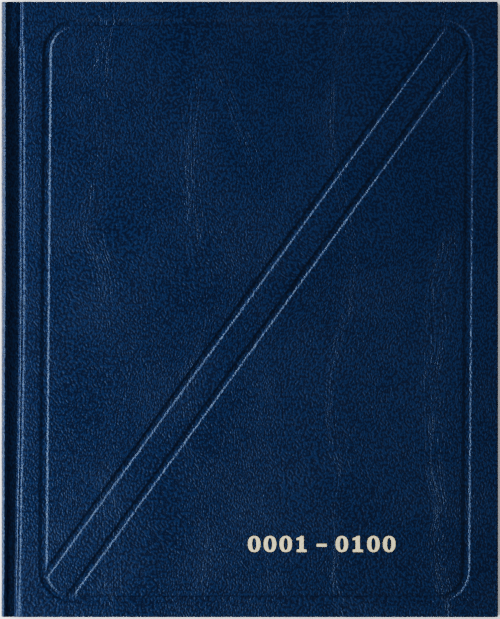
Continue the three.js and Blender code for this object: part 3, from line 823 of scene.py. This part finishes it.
def foldedGuard():
    # A hairpin section, the root's side below and the front's above, drawn out from tail to head
    g = guard
    outer, inner = g["half"], g["half"] - g["paper"]
    back, front = g["fold"] - g["paper"] / 2, g["fold"] + g["paper"] / 2
    outside = [(g["rootEdge"], -outer), (back, -outer), (back, 0), (back, outer), (g["frontEdge"], outer)]
    inside = [(g["frontEdge"], inner), (front, inner), (front, 0), (front, -inner), (g["rootEdge"], -inner)]
    section = np.array(outside + inside) + [0, midLevel]
    y = np.linspace(-g["halfLength"], g["halfLength"], 2)
    points = np.stack(np.broadcast_arrays(section[None, :, 0], y[:, None], section[None, :, 1]), -1)
    count = len(section)
    end = np.array([[k, k + 1, count - 2 - k, count - 1 - k] for k in range(4)])
    faces = np.concatenate([quads(2, count, closedColumns=True), end[:, ::-1], end + count])
    return makePiece("centre_guard", [(points, faces)], ledgerPaper, smooth=False)


centreGuard = foldedGuard()
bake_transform(centreGuard)
print("sections folded")

# Headbands: a bead of silk thread worked over a cord, on a strip of cloth
headband = {
    "navy": (0.012, 0.03, 0.12, 1),
    "cream": (0.72, 0.66, 0.5, 1),
    "clothDark": (0.5, 0.44, 0.32, 1),
    "clothLight": (0.66, 0.6, 0.46, 1),
    "sheen": 0.15,
    "stripeGap": 2.2,
    "stripeFrom": 0.55,  # share of the gap that is navy
    "silkFrom": 166.0,
    "threads": 26,
    "perThread": 6,
    "corners": 16,
    "threadDepth": 0.09,
    "beadRadius": 0.9,
    "beadX": -133.05,
    "beadY": 166.95,
    "backRadius": 15.08,  # of the block's rounded back, which bead and cloth follow
    "clothX": -134.3,
    "cloth": [(0, 154), (0.3, 154), (0.3, 166.05), (1.0, 166.1), (1.0, 166.8), (0, 166.8)],
}


def paintHeadband():
    h = headband
    paint = Paint("headbandSilk", Roughness=0.5, Sheen_Weight=h["sheen"])
    stripe = paint.maths("FRACT", (paint.z + 0.5) / h["stripeGap"]) > h["stripeFrom"]
    onBead = abs(paint.y) > h["silkFrom"]
    twist = paint.noise(paint.place, 3000.0, 2)
    colour = paint.mix(stripe * onBead, h["navy"], h["cream"])
    cloth = paint.mix(twist, h["clothDark"], h["clothLight"])
    colour = paint.mix(onBead, cloth, colour)
    return paint.feed(Base_Color=colour, Normal=paint.bump(twist, 0.00006))


headbandSilk = paintHeadband()


def workedBand(node, body):
    # The bead's radius swells at every thread; the cloth is an L-shaped section under it
    h = headband
    low, high = inMm(node)
    side = np.sign(low[1] + high[1])
    z = np.linspace(low[2], high[2], h["threads"] * h["perThread"] + 1)
    back = h["backRadius"]
    bulge = back - np.sqrt(np.maximum(back**2 - (z - midLevel) ** 2, 0))
    threads = abs(np.sin(np.pi * h["threads"] * (z - low[2]) / (high[2] - low[2])))
    radius = h["beadRadius"] - h["threadDepth"] * (1 - threads)
    angle = np.linspace(0, 2 * np.pi, h["corners"] + 1)[:-1]
    x = h["beadX"] + bulge[:, None] + radius[:, None] * np.cos(angle)
    y = side * h["beadY"] + radius[:, None] * np.sin(angle)
    bead = np.stack(np.broadcast_arrays(x, y, z[:, None]), -1)
    ring = list(range(h["corners"]))
    parts = [(bead, quads(*bead.shape[:2], closedColumns=True))]
    parts += [(bead[0], [ring[::-1]]), (bead[-1], [ring])]
    cloth = np.array(h["cloth"]) * [1, side]
    path = np.stack([h["clothX"] + bulge[::12], 0 * z[::12], z[::12]], -1)
    parts += carried(path, cloth[:: int(side)])
    band = makePiece("worked_" + node, parts, headbandSilk, weld=0.002)
    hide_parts(node)
    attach(band, body)


for name in ("headband", "tailband"):
    workedBand(name + "_front", "front_half")
    workedBand(name + "_back", "root")
print("headbands worked")

# Gilt numerals, stamped on the cover low to the right
foil = {
    "left": -0.8, "right": 80.5, "base": -133.9, "height": 8.8,
    "digitWidth": 6.8, "advance": 8.7,
    "top": 18.9, "under": 18.86,
    "strokes": (2.15, 0.95),  # of the nought, at its sides and at top and bottom
    "ovals": (0.86, 0.9),  # power of its outer and its inner ring
    "one": np.array([
        (-2.6, 0), (2.8, 0), (2.8, 1.2), (1.25, 1.45), (1.15, 2.0), (1.15, 8.8), (-0.35, 8.8),
        (-1.2, 8.0), (-2.7, 7.55), (-2.7, 6.5), (-1.05, 6.75), (-1.05, 2.0), (-1.15, 1.45), (-2.6, 1.2),
    ]),
    "dash": np.array([(-2.75, -0.75), (2.75, -0.75), (2.75, 0.75), (-2.75, 0.75)]),
    "dashLevel": 0.42,  # of the height
    "gold": (0.88, 0.75, 0.36, 1),
    "worn": (0.46, 0.41, 0.24, 1),
}


def paintFoil():
    paint = Paint("giltFoil", Metallic=0.45)
    creases, cells = leatherGrain(paint)[:2]
    wear = paint.ranged(paint.noise(paint.place, 1500.0, 3, 0.7) + cells * 0.2, 0.45, 0.75)
    colour = paint.mix(wear, foil["worn"], foil["gold"])
    rough = paint.ranged(wear, 0.0, 1.0, 0.6, 0.34)
    return paint.feed(Base_Color=colour, Roughness=rough, Normal=paint.bump(creases, 0.00015))


def plate(ring, holes=()):
    # A flat shape with a thickness: top and bottom fields, and walls round every ring
    def raised(points, level):
        return np.concatenate([points, np.full((len(points), 1), level)], -1)

    top, bottom = foil["top"], foil["under"]
    points, faces = flatField(raised(ring, top), [raised(h, top) for h in holes])
    under = points * [1, 1, 0] + [0, 0, bottom]
    parts = [(points, faces), (under, faces[:, ::-1])]
    for loop in (ring, *[h[::-1] for h in holes]):
        wall = np.stack([raised(loop, top), raised(loop, bottom)])
        parts.append((wall, quads(2, len(loop), closedColumns=True)[:, ::-1]))
    return parts


def ovalRing(x, y, halfWidth, halfHeight, power):
    # A superellipse, anticlockwise
    angle = np.linspace(0, 2 * np.pi, 41)[:-1]
    c, s = np.cos(angle), np.sin(angle)
    return np.stack([
        x + halfWidth * np.sign(c) * abs(c) ** power, y + halfHeight * np.sign(s) * abs(s) ** power,
    ], -1)


def numeral(mark, x):
    middle = np.array([x + foil["digitWidth"] / 2, foil["base"]])
    if mark == "1":
        return plate(foil["one"] + middle)
    width, tall = foil["digitWidth"] / 2, foil["height"] / 2
    (side, end), (outer, inner) = foil["strokes"], foil["ovals"]
    centre = middle + [0, tall]
    hole = ovalRing(*centre, width - side, tall - end, inner)
    return plate(ovalRing(*centre, width, tall, outer), [hole])


def goldNumerals():
    parts = []
    group = 3 * foil["advance"] + foil["digitWidth"]
    for text, start in (("0001", foil["left"]), ("0100", foil["right"] - group)):
        for place, mark in enumerate(text):
            parts += numeral(mark, start + place * foil["advance"])
    level = foil["base"] + foil["height"] * foil["dashLevel"]
    parts += plate(foil["dash"] + [(foil["left"] + foil["right"]) / 2, level])
    gold = makePiece("gilt_numerals", parts, paintFoil(), weld=0.001, smooth=False)
    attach(gold, "front_cover")


goldNumerals()
print("foil laid")


def paintBoard(name, light, dark, grain):
    paint = Paint(name, Roughness=0.92)
    flecks = paint.noise(paint.place, grain, 5, 0.75)
    colour = paint.mix(paint.ranged(flecks, 0.3, 0.7), dark, light)
    return paint.feed(Base_Color=colour, Normal=paint.bump(flecks, 0.0001))


# Card that stiffens the spine
card = {
    "centreX": -89.81,
    "radius": 46.64,
    "thickness": 0.8,
    "halfHeight": 5.9,
    "halfLength": 169.5,
    "light": (0.5, 0.42, 0.28, 1),
    "dark": (0.42, 0.34, 0.21, 1),
    "grain": 1200.0,
}


def spineCard():
    # Its section is a band along an arc with half-round edges, drawn out from tail to head
    half, reach = card["thickness"] / 2, math.asin(card["halfHeight"] / card["radius"])
    centre = np.array([card["centreX"], midLevel])
    turn = np.linspace(np.pi - reach, np.pi + reach, 25)
    edge = np.linspace(0, np.pi, 6)[1:-1]

    def arc(middle, radius, angle):
        return middle + radius * np.stack([np.cos(angle), np.sin(angle)], -1)

    below, above = turn[-1], turn[0]
    section = np.concatenate([
        arc(centre, card["radius"] + half, turn),
        arc(arc(centre, card["radius"], below), half, below + edge),
        arc(centre, card["radius"] - half, turn[::-1]),
        arc(arc(centre, card["radius"], above), half, above + np.pi + edge),
    ])
    y = np.array([-card["halfLength"], card["halfLength"]])
    points = np.stack(np.broadcast_arrays(section[:, 0], y[:, None], section[:, 1]), -1)
    ring = list(range(len(section)))
    walls = quads(2, len(section), closedColumns=True)[:, ::-1]
    parts = [(points, walls), (points[0], [ring]), (points[1], [ring[::-1]])]
    stock = paintBoard("spineCard", card["light"], card["dark"], card["grain"])
    return makePiece("spine_card", parts, stock, weld=0.001)


# Greyboard of the covers, crepe paper of the lining and linen of the tapes
boards = {"light": (0.3, 0.28, 0.245, 1), "dark": (0.21, 0.2, 0.175, 1), "grain": 900.0}
crepe = {"dark": (0.42, 0.33, 0.19, 1), "light": (0.66, 0.56, 0.38, 1)}
linen = {"dark": (0.5, 0.45, 0.33, 1), "light": (0.78, 0.73, 0.6, 1), "threads": 9.0}


def paintCrepe():
    paint = Paint("crepeLining", Roughness=0.95)
    crinkle = paint.noise(paint.join(paint.z * 1.6, paint.y * 0.25, paint.x), 1.0, 3, 0.6)
    colour = paint.mix(crinkle, crepe["dark"], crepe["light"])
    return paint.feed(Base_Color=colour, Normal=paint.bump(crinkle, 0.0004))


def paintTape():
    # Plain weave: two sets of threads, each lifted where the other dips
    paint = Paint("linenTape", Roughness=0.9)
    warp = paint.maths("SINE", paint.y * linen["threads"])
    weft = paint.maths("SINE", paint.z * linen["threads"])
    weave = warp * weft * 0.5 + 0.5
    tone = weave * 0.6 + paint.noise(paint.place, 900.0, 3) * 0.4
    colour = paint.mix(tone, linen["dark"], linen["light"])
    return paint.feed(Base_Color=colour, Normal=paint.bump(weave, 0.0001))


def dress(material, *names):
    for name in names:
        nodes[name].material_slots[0].material = material


# Boards, endpapers, single leaves, lining and tapes keep their solids
greyboard = paintBoard("greyboard", boards["light"], boards["dark"], boards["grain"])
dress(greyboard, "front_board", "back_board")
stiffener = spineCard()
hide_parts("spine_stiffener")
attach(stiffener, "spine")
dress(endpaperStock, "front_pastedown", "back_pastedown", "front_flyleaf", "back_flyleaf")
dress(ledgerPaper, "leaf_1", "leaf_2", "leaf_3", "leaf_4")
dress(paintCrepe(), "spine_lining_front", "spine_lining_back")
tapes = [f"sewing_tape_{i}_{half}" for i in (1, 2, 3, 4) for half in ("front", "back")]
dress(paintTape(), *tapes)
print("solids dressed")
